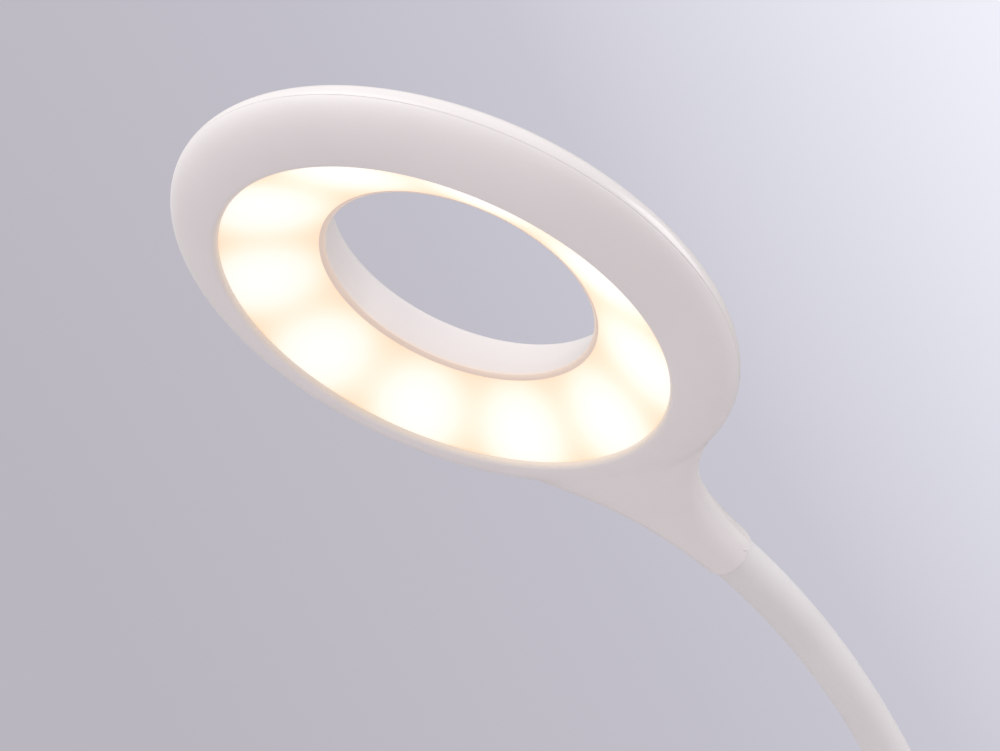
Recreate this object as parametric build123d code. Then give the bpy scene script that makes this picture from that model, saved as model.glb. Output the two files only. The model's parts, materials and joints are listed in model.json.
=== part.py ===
from build123d import *
import os
from math import cos, degrees, pi, radians, sin, sqrt

# A rechargeable work light: a ring-shaped lamp head on a sleeved gooseneck over a weighted round base.
# Millimetres. The origin is the centre of the base's underside, +Z is up, the head reaches towards -Y.

# General fits
touch_clearance = 0.1
screw_clearance = 0.05
hole_clearance = 0.25

# Lamp head, measured from the plane of its mouth towards its back
mouth_radius = 48.0
mouth_round = 1.2
rim_width = 12.2
widest_depth = 6.0
head_wall = 1.6
shoulder_radius = 3.8
shoulder_turn = 47.0
dome_radius = 85.0
dome_turn = 19.0
hole_rim_radius = 2.3
hole_taper = 16.5
hole_lip = 1.1
hole_lip_slope = 0.8
diffuser_depth = 10.0
diffuser_wall = 1.4
diffuser_seat = 2.8
seam_depth = 5.3
seam_gap = 0.15
spigot_wall = 1.2
spigot_height = 1.2
spigot_clearance = 0.3
spigot_end = 45.6

# Stem between the head and the neck
stem_length = 43.3
stem_waist = 6.95
stem_flare_radius = 62.0
stem_wall = 1.4
stem_end_wall = 0.8
stem_seam_depth = 12.0
stem_seam_gap = 2.0
stem_seam_run = 30.0
stem_overlap = 0.4
stem_root_run = 4.0
stem_front_depth = 0.5
stem_back_depth = 16.0
neck_depth = 10.0

# Light source
led_count = 10
led_size = (3.5, 2.8, 0.7)
led_inset = 7.5
led_board_width = 10.4
led_board_thickness = 1.2
led_board_depth = 15.6
led_board_hole_gap = 2.4
led_screw_angles = (36, 144, 216, 324)
led_screw_bite = 3.6
led_boss_radius = 2.2

# Gooseneck
neck_radius = 6.0
sleeve_wall = 2.4
core_bore_radius = 2.0
ball_gap = 0.2
link_length = 23.5
upright_links = 4
lower_bend_links = 3
upper_bend_links = 4
upper_bend_radius = 240.0
first_run = 12.0
last_run = 8.6
head_tilt = 27.2
sleeve_insert = 11.0
sleeve_end_gap = 1.0
sleeve_bore_extra = 2.0
ferrule_wall = 0.6
top_ferrule_length = 14.0
top_ferrule_inset = 27.0
core_end_margin = 2.0

# Ferrule clamp in the stem
clamp_width = 7.0
clamp_sheet = 0.4
clamp_ear_height = 0.6
clamp_ear_reach = 10.6
clamp_seat_height = 0.6
clamp_screw_offset = 8.4
clamp_screw_bite = 4.0
clamp_boss_radius = 2.2

# Base
base_radius = 62.0
base_side_draft = 1.4
base_height = 25.0
base_wall = 2.2
base_round = 6.0
foot_gap = 0.8
floor_thickness = 2.0
foot_pad_inset = 9.8
foot_pad_thickness = 1.2
neck_inset = 22.0
neck_boss_radius = 9.0

# Neck fixing
ferrule_thread_radius = 5.0
ferrule_end_height = 6.5
ferrule_flange_radius = 7.5
ferrule_flange_height = 2.0
collar_radius = 11.0
collar_top_radius = 8.4
collar_height = 7.0
collar_round = 1.2
nut_flats = 16.0
nut_height = 3.0
washer_radius = 9.0
washer_thickness = 0.8

# Counterweight
weight_boss_gap = 1.3
weight_thickness = 5.0
weight_height = 10.8
weight_screw_insets = ((10.0, 8.0), (19.0, -28.0))
weight_screw_bite = 5.0
weight_post_radius = 2.8

# Battery
battery_size = (60.0, 36.0, 6.0)
battery_centre_y = 4.0
battery_pad_size = (54.0, 30.0, 0.5)
battery_corner = 3.0

# Control board, power button and status lens
control_board_size = (46.0, 28.0, 1.2)
control_board_centre_y = -33.0
control_board_height = 18.2
control_board_corner = 1.5
control_screw_inset = 3.5
control_screw_bite = 2.4
control_post_radius = 2.3
button_radius = 8.0
button_gap = 0.2
button_proud = 0.7
button_travel = 0.6
button_round = 0.5
button_flange = 1.4
button_flange_thickness = 1.0
button_pin_radius = 1.2
switch_size = (6.0, 6.0, 1.5)
switch_floor = 0.4
status_lens_radius = 1.5
status_lens_offset = 12.5
status_lens_gap = 1.0

# The control board's components: the size of each and its place from the button's axis
driver_chip = ((5.0, 4.0, 1.6), (-12.0, 1.0))
coil_chip = ((7.0, 7.0, 2.4), (13.0, 1.0))
small_chips = ((3.0, 1.6, 1.0), (12.0, -6.0))
status_chip = (1.6, 0.8, 0.7)
coil_corner = 1.0

# Charger board and socket
charger_board_size = (18.0, 10.0, 1.2)
charger_board_height = 4.0
charger_board_gap = 1.2
charger_screw_x = 6.5
charger_screw_inset = 3.1
charger_screw_bite = 0.5
charger_post_radius = 2.0
socket_size = (8.9, 7.35, 3.2)
socket_recess = 1.3
socket_wall = 0.3
socket_back_wall = 1.2
socket_tongue_root = 1.0
socket_tongue = (6.7, 5.0, 0.7)
socket_surround = 0.35

# Screws: shank radius, head radius, head height
small_screw = (0.95, 1.8, 1.1)
weight_screw = (1.25, 2.5, 1.2)
base_screw = (1.25, 2.4, 1.2)
base_screw_inset = 4.4
base_screw_bite = 11.0
base_boss_radius = 3.1
screw_tip_gap = 0.2

# Leads and their connectors
lead_radius = 0.7
lamp_lead_radius = 1.1
connector_size = (5.2, 3.4, 2.4)
connector_inset = 0.6
lead_height = 1.2
lead_gutter_gap = 3.5
charger_lead_drop = 0.4
battery_lead_run = 1.8
head_lead_start = 4.0
head_lead_dip = 0.8
head_lead_rise = 2.2
head_lead_inset = 1.8

# Sizes that follow from the ones above
head_radius = mouth_radius + rim_width
stem_reach = head_radius + stem_length
stem_end_radius = neck_radius + stem_end_wall
core_radius = neck_radius - sleeve_wall - touch_clearance
sleeve_bore_radius = core_radius + touch_clearance
diffuser_front = head_wall + touch_clearance
lip_depth = diffuser_front + diffuser_depth
floor_top = foot_gap + floor_thickness
neck_offset = base_radius - neck_inset
base_top_radius = base_radius - base_side_draft
base_inner_radius = base_radius - base_wall
base_inner_top = base_height - base_wall
foot_pad_radius = base_inner_radius - foot_pad_inset
base_screw_circle = base_inner_radius - base_screw_inset
weight_radius = base_screw_circle - base_boss_radius - weight_boss_gap
charger_board_end = base_inner_radius - charger_board_gap
socket_front = base_radius - socket_recess
weight_top = weight_height + weight_thickness
led_circle = mouth_radius - led_inset
neck_lean = 90.0 - head_tilt
upper_turn = degrees(upper_bend_links * link_length / upper_bend_radius)
lower_turn = neck_lean - upper_turn
lower_bend_radius = lower_bend_links * link_length / radians(lower_turn)
collar_top = base_height + collar_height
ferrule_radius = core_radius + screw_clearance + ferrule_wall

parts = {}


def add(name, shape):
    """Keeps a finished piece under its node's name, as one group of its solids."""
    solids = shape.solids()
    if len(solids) == 1:
        parts[name] = solids[0]
    else:
        parts[name] = Compound(children=list(solids))


def rod(radius, bottom, top, x=0.0, y=0.0):
    """An upright round bar between two heights."""
    return Pos(x, y, bottom) * extrude(Circle(radius), top - bottom)


def block(size_x, size_y, bottom, top, x=0.0, y=0.0, corner=0.0):
    """An upright bar of rectangular section between two heights, with its corners rounded."""
    section = RectangleRounded(size_x, size_y, corner) if corner else Rectangle(size_x, size_y)
    return Pos(x, y, bottom) * extrude(section, top - bottom)


def turned(*edges):
    """A solid of revolution about Z from a closed outline in the XZ plane, x being the radius."""
    return revolve(Plane.XZ * make_face(Curve() + list(edges)), Axis.Z)


def outline(*points):
    """Straight edges from point to point, without closing the last one."""
    return [Line(start, end) for start, end in zip(points, points[1:])]


def screw_down(shank, head, head_height, seat, tip, x, y):
    """A screw whose head lies on top of a seat and whose shank points down to its tip."""
    return rod(head, seat, seat + head_height, x, y) + rod(shank, tip, seat, x, y)


def screw_up(shank, head, head_height, seat, tip, x, y):
    """A screw whose head lies under a seat and whose shank points up to its tip."""
    return rod(head, seat - head_height, seat, x, y) + rod(shank, seat, tip, x, y)


def lead(radius, points):
    """A round lead on a route of straight runs joined by arcs as large as the runs allow."""
    corners = [Vector(*point) for point in points]
    radii = []
    for before, corner, after in zip(corners, corners[1:], corners[2:]):
        turn = radians((corner - before).get_angle(after - corner))
        shorter = min((corner - before).length, (after - corner).length)
        radii.append(0.45 * shorter / (sin(turn / 2) / cos(turn / 2)))
    path = FilletPolyline(*points, radius=radii)
    start = Plane(origin=path @ 0, z_dir=path % 0)
    return sweep(start * Circle(radius), path=path)


# The neck's centreline: a station is (y, z, lean), with lean in degrees from upright towards -Y.


def onward(station, run, bend):
    """The station that lies a run further along the neck, on a bend of that radius or straight."""
    y, z, lean = station
    if bend == 0:
        return (y - run * sin(radians(lean)), z + run * cos(radians(lean)), lean)
    new_lean = lean + degrees(run / bend)
    new_y = y - bend * (cos(radians(lean)) - cos(radians(new_lean)))
    new_z = z + bend * (sin(radians(new_lean)) - sin(radians(lean)))
    return (new_y, new_z, new_lean)


def station_plane(station):
    """The plane square to the neck at a station, its normal pointing towards the head."""
    y, z, lean = station
    normal = (0, -sin(radians(lean)), cos(radians(lean)))
    return Plane(origin=(0, y, z), x_dir=(1, 0, 0), z_dir=normal)


def bar_along(station, run, bend, radius):
    """A round bar that follows the neck from a station."""
    section = station_plane(station) * Circle(radius)
    if bend == 0:
        return extrude(section, run)
    y, z, lean = station
    middle = (0, y - bend * cos(radians(lean)), z - bend * sin(radians(lean)))
    return revolve(section, Axis(middle, (1, 0, 0)), degrees(run / bend))


def neck_tube(station, run, bend, radius, bore, socket, ball):
    """One tube of the neck, with a hollow socket at its start and a ball at its end where asked."""
    end = onward(station, run, bend)
    extra = neck_radius if ball else 0
    if bend == 0:
        tube = bar_along(station, run + extra, 0, radius) - bar_along(station, run + extra, 0, bore)
    else:
        tube = bar_along(station, run, bend, radius) + bar_along(end, extra, 0, radius)
        tube = tube - bar_along(station, run, bend, bore) - bar_along(end, extra, 0, bore)
    if ball:
        beyond = bar_along(end, 2 * extra, 0, 2 * radius)
        tube = tube - (beyond - station_plane(end).location * Sphere(neck_radius))
    if socket:
        tube = tube - station_plane(station).location * Sphere(neck_radius + ball_gap)
    return tube


def neck_joints():
    """The neck's joints from the base to the head, each with the bend that follows it."""
    bends = [0] * upright_links + [lower_bend_radius] * lower_bend_links
    bends = bends + [upper_bend_radius] * upper_bend_links
    station = (neck_offset, collar_top + first_run, 0.0)
    joints = []
    for bend in bends:
        joints.append((station, bend))
        station = onward(station, link_length, bend)
    joints.append((station, 0))
    return joints


joints = neck_joints()
last_joint = joints[-1][0]
stem_end = onward(last_joint, last_run, 0)
head_axis_point = onward(stem_end, stem_reach, 0)
head_place = Pos(0, head_axis_point[0], head_axis_point[1]) * Rot(-head_tilt, 0, 0) * Pos(0, 0, -neck_depth)


# Lamp head. In the head's own frame the mouth lies in XY, +Z is its back and +Y runs to the stem.


def quarter_ellipse(middle, across, along):
    """The quarter of an ellipse that runs from its front round to its widest point."""
    return EllipticalCenterArc(middle, across, along, start_angle=270, arc_size=90)


def dome_arcs(gap):
    """The rear cover's curve moved in by a gap: its shoulder, its dome and the hole's rounded rim."""
    rim_turn = 180 - hole_taper - shoulder_turn - dome_turn
    bends = [(shoulder_radius, shoulder_turn), (dome_radius, dome_turn), (hole_rim_radius, rim_turn)]
    arcs = []
    angle = 0.0
    surface = Vector(head_radius, widest_depth)
    for radius, turn in bends:
        middle = surface - Vector(cos(radians(angle)), sin(radians(angle))) * radius
        arcs.append(CenterArc((middle.X, middle.Y), radius - gap, angle, turn))
        angle = angle + turn
        surface = middle + Vector(cos(radians(angle)), sin(radians(angle))) * radius
    return arcs


def hole_wall_radius(gap, depth):
    """The radius of the hole's tapered wall at a depth, moved out by a gap."""
    end = dome_arcs(gap)[-1] @ 1
    return end.X - (end.Y - depth) * sin(radians(hole_taper)) / cos(radians(hole_taper))


head_depth = dome_arcs(0)[-1].bounding_box().max.Y
hole_radius = hole_wall_radius(0, lip_depth + hole_lip_slope)
hole_outer_radius = hole_radius + hole_lip
diffuser_hole_radius = hole_outer_radius + touch_clearance
diffuser_span = mouth_radius - diffuser_hole_radius
led_board_inner = hole_outer_radius + led_board_hole_gap


def front_ring():
    """The ring of the front housing: rolled mouth and rounded rim, up to the widest circle."""
    lip_radius = mouth_radius + mouth_round
    across = head_radius - lip_radius
    middle = (lip_radius, widest_depth)
    outer = quarter_ellipse(middle, across, widest_depth)
    inner = quarter_ellipse(middle, across - head_wall, widest_depth - head_wall)
    lip = ThreePointArc(
        (mouth_radius, mouth_round),
        (lip_radius - mouth_round * cos(pi / 4), mouth_round - mouth_round * sin(pi / 4)),
        (lip_radius, 0),
    )
    edges = [lip, outer, inner]
    edges = edges + outline((head_radius, widest_depth), (head_radius - head_wall, widest_depth))
    edges = edges + outline((lip_radius, head_wall), (mouth_radius, head_wall), (mouth_radius, mouth_round))
    return turned(*edges)


def rear_ring():
    """The ring of the rear cover: dome, rounded back rim and the wall of the central hole."""
    shoulder = lip_depth + diffuser_wall + hole_lip_slope
    outer = dome_arcs(0)
    inner = dome_arcs(head_wall)
    outer_end = outer[-1] @ 1
    inner_end = inner[-1] @ 1
    edges = outer + inner
    edges = edges + outline((head_radius - head_wall, widest_depth), (head_radius, widest_depth))
    edges = edges + outline(
        (outer_end.X, outer_end.Y),
        (hole_radius, lip_depth + hole_lip_slope),
        (hole_outer_radius, lip_depth),
        (hole_outer_radius, shoulder),
        (hole_wall_radius(head_wall, shoulder), shoulder),
        (inner_end.X, inner_end.Y),
    )
    return turned(*edges)


def ring_void():
    """The space inside the ring that the stem must leave open."""
    lip_radius = mouth_radius + mouth_round
    across = head_radius - lip_radius - head_wall
    shoulder, dome, rim = dome_arcs(head_wall)
    top = dome @ 1
    edges = [quarter_ellipse((lip_radius, widest_depth), across, widest_depth - head_wall), shoulder, dome]
    edges = edges + outline(
        (top.X, top.Y),
        (top.X, -head_depth),
        (mouth_radius, -head_depth),
        (mouth_radius, head_wall),
        (lip_radius, head_wall),
    )
    return turned(*edges)


flare_middle = stem_waist + stem_flare_radius
waist_reach = sqrt((head_radius + stem_flare_radius) ** 2 - flare_middle**2)
flare_start = waist_reach * head_radius / (head_radius + stem_flare_radius)


def stem_half_width(reach):
    """Half the stem's width at a distance from the head's axis: a flare from the ring, then a taper."""
    if reach <= waist_reach:
        return flare_middle - sqrt(stem_flare_radius**2 - (reach - waist_reach) ** 2)
    share = (reach - waist_reach) / (stem_reach - waist_reach)
    return stem_waist + (stem_end_radius - stem_waist) * share


def stem_body(gap, reach_end):
    """The stem's flared body as a loft from inside the ring's rim, moved in by a wall's thickness."""
    start = flare_start + stem_overlap
    root = head_radius + stem_root_run
    stations = [start, (start + root) / 2, root]
    for count in range(1, 4):
        stations.append(root + (reach_end - root) * count / 4)
    sections = []
    for reach in stations + [reach_end]:
        share = min(1.0, (reach - start) / (stem_reach - start))
        rise = min(1.0, (reach - start) / (root - start))
        blend = share * share * (3 - 2 * share)
        edge = widest_depth + (neck_depth - widest_depth) * blend
        front = stem_front_depth + (neck_depth - stem_end_radius - stem_front_depth) * share + gap
        back = head_depth / 2 + (stem_back_depth - head_depth / 2) * rise
        back = back + (neck_depth + stem_end_radius - stem_back_depth) * blend - gap
        width = stem_half_width(reach) - gap
        lower = EllipticalCenterArc((0, edge), width, edge - front, start_angle=180, arc_size=180)
        upper = EllipticalCenterArc((0, edge), width, back - edge, start_angle=0, arc_size=180)
        plane = Plane(origin=(0, reach, 0), x_dir=(1, 0, 0), z_dir=(0, -1, 0))
        sections.append(plane * make_face(Curve() + [lower, upper]))
    return loft(sections)


def seam_cutter(drop):
    """All that lies behind the seam, which climbs from the ring's rim to the middle of the stem."""
    seam_start = mouth_radius + stem_seam_gap
    seam_end = seam_start + stem_seam_run
    far = 2 * stem_reach
    low = seam_depth - drop
    high = stem_seam_depth - drop
    climb = Spline((seam_start, low), (seam_end, high), tangents=[(1, 0), (1, 0)])
    edges = [climb] + outline((-far, low), (seam_start, low))
    edges = edges + outline((seam_end, high), (far, high), (far, far), (-far, far), (-far, low))
    return extrude(Plane.YZ * make_face(Curve() + edges), far, both=True)


clamp_reach = stem_reach - top_ferrule_inset - top_ferrule_length / 2
clamp_seat = neck_depth + clamp_seat_height


def cradle():
    """The rib and the two bosses in the front housing that carry the neck's upper ferrule."""
    foot = stem_front_depth + head_wall
    rib = block(2 * ferrule_radius, clamp_width, foot, neck_depth - 1.0, 0, clamp_reach)
    rib = rib - Pos(0, clamp_reach, neck_depth) * Rot(90, 0, 0) * Cylinder(
        ferrule_radius + screw_clearance, 2 * clamp_width
    )
    for side in (-1, 1):
        x = side * clamp_screw_offset
        rib = rib + rod(clamp_boss_radius, foot + head_wall, clamp_seat, x, clamp_reach)
        bore_end = clamp_seat - clamp_screw_bite - screw_tip_gap
        rib = rib - rod(small_screw[0] + screw_clearance, bore_end, clamp_seat, x, clamp_reach)
    return rib


def led_boss_place(angle):
    """Where a screw of the light's board stands; angles start at the stem."""
    return led_circle * sin(radians(angle)), led_circle * cos(radians(angle))


def make_head():
    """The two halves of the head's housing, cut from one body along the seam."""
    body = front_ring() + rear_ring()
    body = body + stem_body(0, stem_reach)
    inner = stem_body(stem_wall, stem_reach - sleeve_insert)
    body = body - ring_void() - inner
    bore = Pos(0, stem_reach, neck_depth) * Rot(90, 0, 0) * Cylinder(
        neck_radius + touch_clearance, 2 * (sleeve_insert + sleeve_bore_extra)
    )
    body = body - bore
    front = body - seam_cutter(seam_gap)
    rear = body & seam_cutter(0)

    spigot_outer = head_radius - head_wall - spigot_clearance
    spigot = rod(spigot_outer, widest_depth / 2 + seam_gap, seam_depth + spigot_height)
    spigot = spigot - rod(spigot_outer - spigot_wall, 0, head_depth)
    spigot = spigot - block(
        2 * mouth_radius, mouth_radius, 0, head_depth, 0, spigot_end + mouth_radius / 2
    )
    front = front + spigot + cradle()

    board_back = led_board_depth + led_board_thickness
    for angle in led_screw_angles:
        x, y = led_boss_place(angle)
        boss = rod(led_boss_radius, board_back, head_depth - head_wall, x, y)
        rear = rear + (boss & dome_filling())
        bore_end = board_back + led_screw_bite + screw_tip_gap
        rear = rear - rod(small_screw[0] + screw_clearance, board_back, bore_end, x, y)
    return front, rear


def dome_filling():
    """Everything under the middle of the dome's wall, which keeps bosses from coming through it."""
    shoulder, dome, rim = dome_arcs(head_wall / 2)
    start = shoulder @ 0
    top = dome @ 1
    edges = [shoulder, dome]
    edges = edges + outline((top.X, top.Y), (0, top.Y), (0, 0), (start.X, 0), (start.X, start.Y))
    return turned(*edges)


front, rear = make_head()
add("front_housing", head_place * front)
add("rear_cover", head_place * rear)


def make_diffuser():
    """The milky cone between the mouth and the hole, with a flat rim behind the mouth's lip."""
    rim = mouth_radius + diffuser_seat
    slope = diffuser_depth / diffuser_span
    back = diffuser_wall * sqrt(1 + slope * slope)
    front_edge = diffuser_front + touch_clearance
    inner = diffuser_hole_radius
    rim_back = front_edge + diffuser_wall
    meet = mouth_radius - (rim_back - front_edge - back) / slope
    return turned(
        *outline(
            (mouth_radius, front_edge),
            (rim, front_edge),
            (rim, rim_back),
            (meet, rim_back),
            (inner, lip_depth + back),
            (inner, lip_depth),
            (mouth_radius, front_edge),
        )
    )


add("diffuser", head_place * make_diffuser())


def make_light_board():
    """The ring board that carries the light's chips."""
    outer = led_board_inner + led_board_width
    board = rod(outer, led_board_depth, led_board_depth + led_board_thickness)
    board = board - rod(led_board_inner, 0, head_depth)
    for angle in led_screw_angles:
        x, y = led_boss_place(angle)
        board = board - rod(small_screw[0] + hole_clearance, 0, head_depth, x, y)
    return board


def make_light_chips():
    """The light's chips, evenly spaced with a gap at the stem."""
    width, height, thickness = led_size
    chips = []
    for index in range(led_count):
        turn = 360 / led_count * (index + 0.5)
        chip = block(width, height, led_board_depth - thickness, led_board_depth, 0, led_circle)
        chips.append(Rot(0, 0, turn) * chip)
    return Compound(children=chips)


def make_light_screws():
    """The screws that hold the light's board to the rear cover."""
    shank, head, height = small_screw
    tip = led_board_depth + led_board_thickness + led_screw_bite
    screws = []
    for angle in led_screw_angles:
        x, y = led_boss_place(angle)
        screws.append(screw_up(shank, head, height, led_board_depth, tip, x, y))
    return Compound(children=screws)


add("led_board", head_place * make_light_board())
add("leds", head_place * make_light_chips())
add("led_board_screws", head_place * make_light_screws())


def lying_rod(radius, start, end):
    """A round bar on the neck's axis inside the stem, between two distances from the head's axis."""
    return Pos(0, start, neck_depth) * Rot(-90, 0, 0) * extrude(Circle(radius), end - start)


ferrule_start = stem_reach - top_ferrule_inset - top_ferrule_length
core_end_reach = ferrule_start + core_end_margin


def make_top_ferrule():
    """The metal sleeve crimped on the neck's upper end."""
    end = ferrule_start + top_ferrule_length
    return lying_rod(ferrule_radius, ferrule_start, end) - lying_rod(
        core_radius + screw_clearance, ferrule_start, end
    )


def make_clamp():
    """The sheet strap that holds the upper ferrule in its cradle."""
    inner = ferrule_radius + screw_clearance
    strap = lying_rod(inner + clamp_sheet, clamp_reach - clamp_width / 2, clamp_reach + clamp_width / 2)
    ears = block(2 * clamp_ear_reach, clamp_width, clamp_seat, clamp_seat + clamp_ear_height, 0, clamp_reach)
    strap = strap & block(4 * inner, 2 * clamp_width, clamp_seat, head_depth, 0, clamp_reach)
    strap = strap + ears - lying_rod(inner, clamp_reach - clamp_width, clamp_reach + clamp_width)
    for side in (-1, 1):
        strap = strap - rod(
            small_screw[0] + hole_clearance, 0, head_depth, side * clamp_screw_offset, clamp_reach
        )
    return strap


def make_clamp_screws():
    """The two screws of the strap."""
    shank, head, height = small_screw
    seat = clamp_seat + clamp_ear_height
    screws = []
    for side in (-1, 1):
        x = side * clamp_screw_offset
        tip = clamp_seat - clamp_screw_bite
        screws.append(screw_down(shank, head, height, seat, tip, x, clamp_reach))
    return Compound(children=screws)


def make_head_leads():
    """The lead from the neck's end to the light's board."""
    board_edge = led_board_inner + led_board_width - head_lead_inset
    entry = ferrule_start + head_lead_start
    points = [
        (0, entry, neck_depth),
        (0, entry - neck_radius, neck_depth - head_lead_dip),
        (0, board_edge, neck_depth + head_lead_rise),
        (0, board_edge, led_board_depth),
    ]
    return lead(lead_radius, points)


add("neck_top_ferrule", head_place * make_top_ferrule())
add("ferrule_clamp", head_place * make_clamp())
add("clamp_screws", head_place * make_clamp_screws())
add("head_leads", head_place * make_head_leads())


# Gooseneck: sleeved links that meet in ball joints, from the one in the collar to the one in the stem


def make_neck():
    """All the neck's sleeves and the flexible steel tubes inside them."""
    flange_top = base_height + ferrule_flange_height
    root_sleeve = (neck_offset, flange_top, 0.0)
    root_core = (neck_offset, ferrule_end_height + core_end_margin, 0.0)
    first_joint_height = joints[0][0][1]
    top_core_run = last_run + stem_reach - core_end_reach
    sleeve_runs = [(root_sleeve, first_joint_height - flange_top, 0, False, True)]
    core_runs = [(root_core, first_joint_height - root_core[1], 0, False, True)]
    for station, bend in joints[:-1]:
        sleeve_runs.append((station, link_length, bend, True, True))
        core_runs.append((station, link_length, bend, True, True))
    sleeve_runs.append((last_joint, last_run + sleeve_insert - sleeve_end_gap, 0, True, False))
    core_runs.append((last_joint, top_core_run, 0, True, False))
    for index, (station, run, bend, socket, ball) in enumerate(sleeve_runs):
        tube = neck_tube(station, run, bend, neck_radius, sleeve_bore_radius, socket, ball)
        add(f"neck_sleeve_{index:02d}", tube)
    for index, (station, run, bend, socket, ball) in enumerate(core_runs):
        tube = neck_tube(station, run, bend, core_radius, core_bore_radius, socket, ball)
        add(f"neck_core_{index:02d}", tube)


make_neck()


# Base


base_screw_places = []
for quarter in range(4):
    turn = radians(45 + 90 * quarter)
    base_screw_places.append((base_screw_circle * cos(turn), base_screw_circle * sin(turn)))

weight_screw_places = []
for inset, y in weight_screw_insets:
    for side in (1, -1):
        weight_screw_places.append((side * (weight_radius - inset), y))

control_screw_places = []
for side_x in (-1, 1):
    for side_y in (-1, 1):
        control_screw_places.append(
            (
                side_x * (control_board_size[0] / 2 - control_screw_inset),
                control_board_centre_y + side_y * (control_board_size[1] / 2 - control_screw_inset),
            )
        )

charger_screw_y = charger_board_end - charger_screw_inset
charger_top = charger_board_height + charger_board_size[2]
control_top = control_board_height + control_board_size[2]
button_y = control_board_centre_y
status_lens_y = button_y + status_lens_offset


def socket_plane(y):
    """The upright plane across the charging socket at a distance behind the base's centre."""
    return Plane(origin=(0, y, charger_top + socket_size[2] / 2), x_dir=(1, 0, 0), z_dir=(0, 1, 0))


def make_base_cover():
    """The base's upper shell with its bosses."""
    face = Plane.XZ * make_face(
        Curve()
        + outline(
            (0, base_height),
            (base_top_radius, base_height),
            (base_radius, foot_gap),
            (base_inner_radius, foot_gap),
            (base_inner_radius, floor_top),
            (base_top_radius - base_wall, base_inner_top),
            (0, base_inner_top),
            (0, base_height),
        )
    )
    shell = revolve(face, Axis.Z)
    for radius, height, size in (
        (base_top_radius, base_height, base_round),
        (base_top_radius - base_wall, base_inner_top, base_round - base_wall),
    ):
        picked = shell.edges().filter_by(GeomType.CIRCLE).filter_by(
            lambda item: abs(item.radius - radius) < 0.01 and abs(item.center().Z - height) < 0.01
        )
        shell = fillet(picked, size)
    shell = shell + rod(neck_boss_radius, weight_top, base_height - base_wall / 2, 0, neck_offset)
    shell = shell - rod(ferrule_thread_radius + touch_clearance, 0, base_height, 0, neck_offset)
    shank = base_screw[0]
    inner_solid = rod(base_inner_radius + base_wall / 2, 0, base_height - base_wall / 2)
    for x, y in base_screw_places:
        shell = shell + (rod(base_boss_radius, floor_top, base_height - base_wall / 2, x, y) & inner_solid)
        bore_end = floor_top + base_screw_bite + screw_tip_gap
        shell = shell - rod(shank + screw_clearance, 0, bore_end, x, y)
    for x, y in weight_screw_places:
        shell = shell + rod(weight_post_radius, weight_top, base_height - base_wall / 2, x, y)
        bore_end = weight_top + weight_screw_bite + screw_tip_gap
        shell = shell - rod(weight_screw[0] + screw_clearance, 0, bore_end, x, y)
    for x, y in control_screw_places:
        shell = shell + rod(control_post_radius, control_top, base_height - base_wall / 2, x, y)
        bore_end = control_top + control_screw_bite + screw_tip_gap
        shell = shell - rod(small_screw[0] + screw_clearance, 0, bore_end, x, y)
    above = base_height + base_wall
    shell = shell - rod(button_radius + button_gap, control_top, above, 0, button_y)
    shell = shell - rod(status_lens_radius + touch_clearance, control_top, above, 0, status_lens_y)
    slot = RectangleRounded(
        socket_size[0] + 2 * socket_surround, socket_size[2] + 2 * socket_surround, socket_size[2] / 2
    )
    slot_plane = socket_plane(base_inner_radius - 2 * base_wall)
    return shell - extrude(slot_plane * slot, 4 * base_wall)


def make_base_floor():
    """The base's bottom plate, with a shallow recess for the foot pad."""
    plate = rod(base_inner_radius - touch_clearance, foot_gap, floor_top)
    plate = plate - rod(foot_pad_radius + touch_clearance, 0, foot_pad_thickness)
    shank, head, head_height = base_screw
    for x, y in base_screw_places:
        plate = plate - rod(shank + hole_clearance, 0, floor_top, x, y)
        plate = plate - rod(head + hole_clearance, 0, foot_gap + head_height, x, y)
    for side in (-1, 1):
        x = side * charger_screw_x
        plate = plate + rod(charger_post_radius, floor_top, charger_board_height, x, charger_screw_y)
        bore_end = floor_top - charger_screw_bite - screw_tip_gap
        plate = plate - rod(small_screw[0] + screw_clearance, bore_end, base_height, x, charger_screw_y)
    return plate


def make_base_screws():
    """The four screws that close the base from below."""
    shank, head, height = base_screw
    seat = foot_gap + height
    tip = floor_top + base_screw_bite
    return Compound(children=[screw_up(shank, head, height, seat, tip, x, y) for x, y in base_screw_places])


add("base_cover", make_base_cover())
add("base_floor", make_base_floor())
add("foot_pad", rod(foot_pad_radius, 0, foot_pad_thickness))
add("base_screws", make_base_screws())


def make_counterweight():
    """The steel disc that keeps the lamp standing."""
    disc = rod(weight_radius, weight_height, weight_top)
    disc = disc - rod(ferrule_thread_radius + touch_clearance, 0, base_height, 0, neck_offset)
    for x, y in weight_screw_places:
        disc = disc - rod(weight_screw[0] + hole_clearance, 0, base_height, x, y)
    return disc


def make_weight_screws():
    """The screws that hold the counterweight under the cover."""
    shank, head, height = weight_screw
    tip = weight_top + weight_screw_bite
    return Compound(
        children=[screw_up(shank, head, height, weight_height, tip, x, y) for x, y in weight_screw_places]
    )


add("counterweight", make_counterweight())
add("weight_screws", make_weight_screws())


def make_bottom_ferrule():
    """The threaded end of the neck, with the flange that stands on the cover."""
    body = rod(ferrule_thread_radius, ferrule_end_height, base_height, 0, neck_offset)
    body = body + rod(
        ferrule_flange_radius, base_height, base_height + ferrule_flange_height, 0, neck_offset
    )
    return body - rod(core_radius + screw_clearance, 0, collar_top, 0, neck_offset)


def make_nut():
    """The hexagon nut under the counterweight."""
    top = weight_height - washer_thickness
    hexagon = RegularPolygon(nut_flats / 2, 6, major_radius=False)
    nut = Pos(0, neck_offset, top - nut_height) * extrude(hexagon, nut_height)
    return nut - rod(ferrule_thread_radius + screw_clearance, 0, base_height, 0, neck_offset)


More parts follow.
